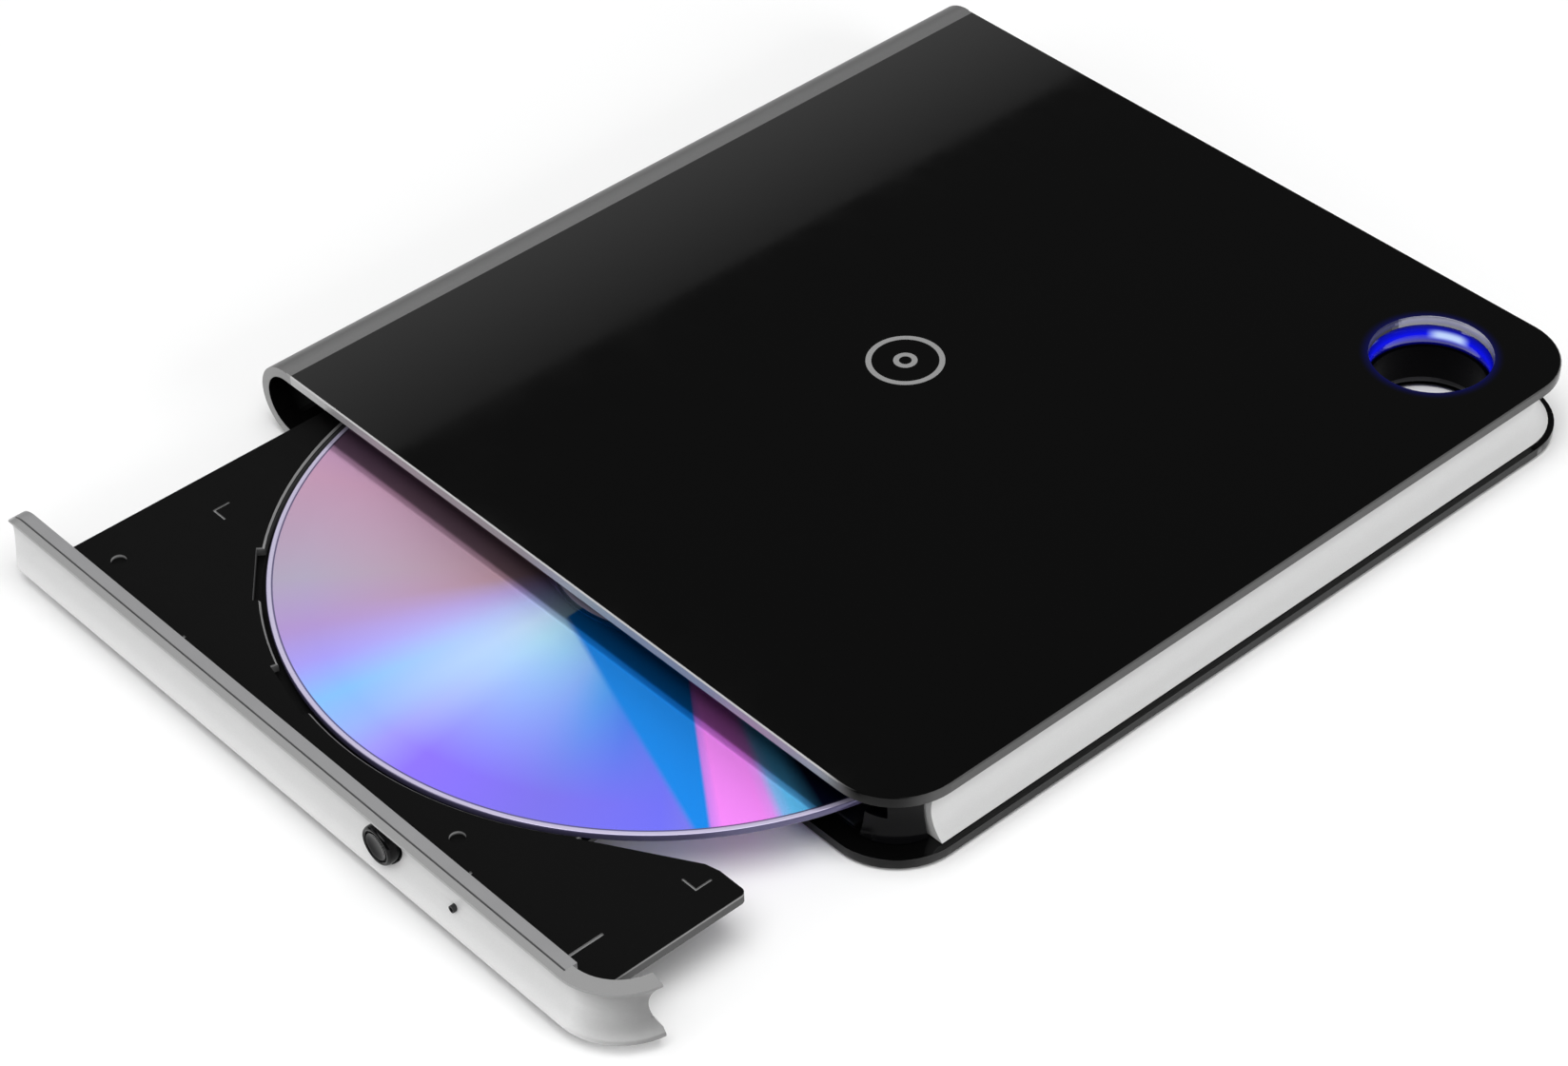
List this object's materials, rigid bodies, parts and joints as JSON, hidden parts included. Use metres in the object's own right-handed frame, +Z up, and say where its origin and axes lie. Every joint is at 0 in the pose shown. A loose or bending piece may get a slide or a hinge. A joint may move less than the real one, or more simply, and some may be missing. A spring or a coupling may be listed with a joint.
{
  "type": "external optical disc drive",
  "caption": "Slim portable optical drive: folded glossy cover, silver edge trim, part-open disc drawer, eject button and a lit finger ring in the rear corner.",
  "frame": {"origin": "on the surface the feet stand on, under the middle of the housing's plan", "axes": "+Z up, +X right along the front edge, -Y the way the drawer slides out"},
  "size_m": [0.145, 0.1982, 0.014],
  "materials": {
    "cover": "glossy black lacquer, satin over the rolled spine",
    "trim_silver": "fine satin silver",
    "gloss_black": "polished black",
    "light_guide": "translucent blue light guide",
    "foot_rubber": "matte",
    "screw_steel": "plain",
    "sheet_steel": "galvanised sheet",
    "circuit_board": "solder resist with soldered parts",
    "socket_shell": "nickel plated",
    "connector_black": "moulded",
    "ribbon": "polyimide film",
    "tray_plastic": "fine matte moulding",
    "frame_grey": "satin grey paint",
    "rod_steel": "ground and polished",
    "motor_metal": "pressed steel",
    "switch_plastic": "moulded",
    "coil_copper": "enamelled copper winding",
    "turntable_plastic": "satin",
    "disc": "reflective recording layer with rainbow sheen under clear plastic",
    "sled_alloy": "die-cast alloy",
    "lens_glass": "coated lens",
    "brass": "turned"
  },
  "bodies": {
    "housing": {"cover_shell": "cover", "edge_trim": "trim_silver", "corner_frame": "gloss_black", "ring_sleeve": "gloss_black", "light_ring": "light_guide", "rubber_feet": "foot_rubber", "case_screws": "screw_steel", "chassis_base": "sheet_steel", "chassis_top": "sheet_steel", "rail_guide_left": "sheet_steel", "rail_guide_right": "sheet_steel", "latch_post": "screw_steel", "main_board": "circuit_board", "usb_socket": "socket_shell", "drive_connector": "connector_black", "led_board": "circuit_board", "ribbon_cable": "ribbon"},
    "rail_left": {"slide_rail_left": "sheet_steel"},
    "rail_right": {"slide_rail_right": "sheet_steel"},
    "drawer": {"tray": "tray_plastic", "tray_base_cover": "sheet_steel", "bezel_face": "trim_silver", "bezel_frame": "frame_grey", "traverse_frame": "sheet_steel", "guide_rod_left": "rod_steel", "guide_rod_right": "rod_steel", "spindle_motor": "motor_metal", "sled_motor": "motor_metal", "screw_bearing": "connector_black", "tray_board": "circuit_board", "eject_switch": "switch_plastic", "eject_solenoid": "coil_copper"},
    "latch": {"latch_hook": "sheet_steel"},
    "button": {"eject_button": "gloss_black"},
    "spindle": {"turntable": "turntable_plastic", "disc": "disc"},
    "sled": {"pickup_sled": "sled_alloy"},
    "lens": {"lens_holder": "connector_black", "objective_lens": "lens_glass"},
    "screw": {"lead_screw": "brass"}
  },
  "joints": [
    {"name": "tray_slide", "type": "slide", "parent": "housing", "child": "drawer", "axis": [0, -1, 0], "range_m": [-0.0502, 0.084], "deforming": ["ribbon_cable"]},
    {"name": "rail_left_slide", "type": "slide", "parent": "housing", "child": "rail_left", "axis": [0, -1, 0], "range_m": [-0.0251, 0.042]},
    {"name": "rail_right_slide", "type": "slide", "parent": "housing", "child": "rail_right", "axis": [0, -1, 0], "range_m": [-0.0251, 0.042]},
    {"name": "button_press", "type": "slide", "parent": "drawer", "child": "button", "axis": [0, 1, 0], "range_m": [0, 0.0006], "stiffness_N_per_m": 800},
    {"name": "latch_swing", "type": "hinge", "parent": "drawer", "child": "latch", "pos_m": [0.0181, -0.1117, 0.004], "axis": [0, 0, 1], "range_deg": [0, 15], "stiffness_Nm_per_rad": 0.002},
    {"name": "spindle_spin", "type": "hinge", "parent": "drawer", "child": "spindle", "pos_m": [0.0042, -0.0552, 0.005], "axis": [0, 0, 1], "continuous": true},
    {"name": "screw_turn", "type": "hinge", "parent": "drawer", "child": "screw", "pos_m": [0.01551, -0.04389, 0.0051], "axis": [-0.7071, 0.7071, 0], "range_deg": [-960, 2880]},
    {"name": "sled_travel", "type": "slide", "parent": "drawer", "child": "sled", "axis": [-0.7071, 0.7071, 0], "range_m": [-0.008, 0.024]},
    {"name": "lens_focus", "type": "slide", "parent": "sled", "child": "lens", "axis": [0, 0, 1], "range_m": [-0.0003, 0.0003], "stiffness_N_per_m": 60}
  ],
  "couplings": [
    {"joint": "rail_left_slide", "follows": "tray_slide", "ratio": 0.5},
    {"joint": "rail_right_slide", "follows": "tray_slide", "ratio": 0.5},
    {"joint": "screw_turn", "follows": "sled_travel", "rad_per_m": 2094.4}
  ]
}
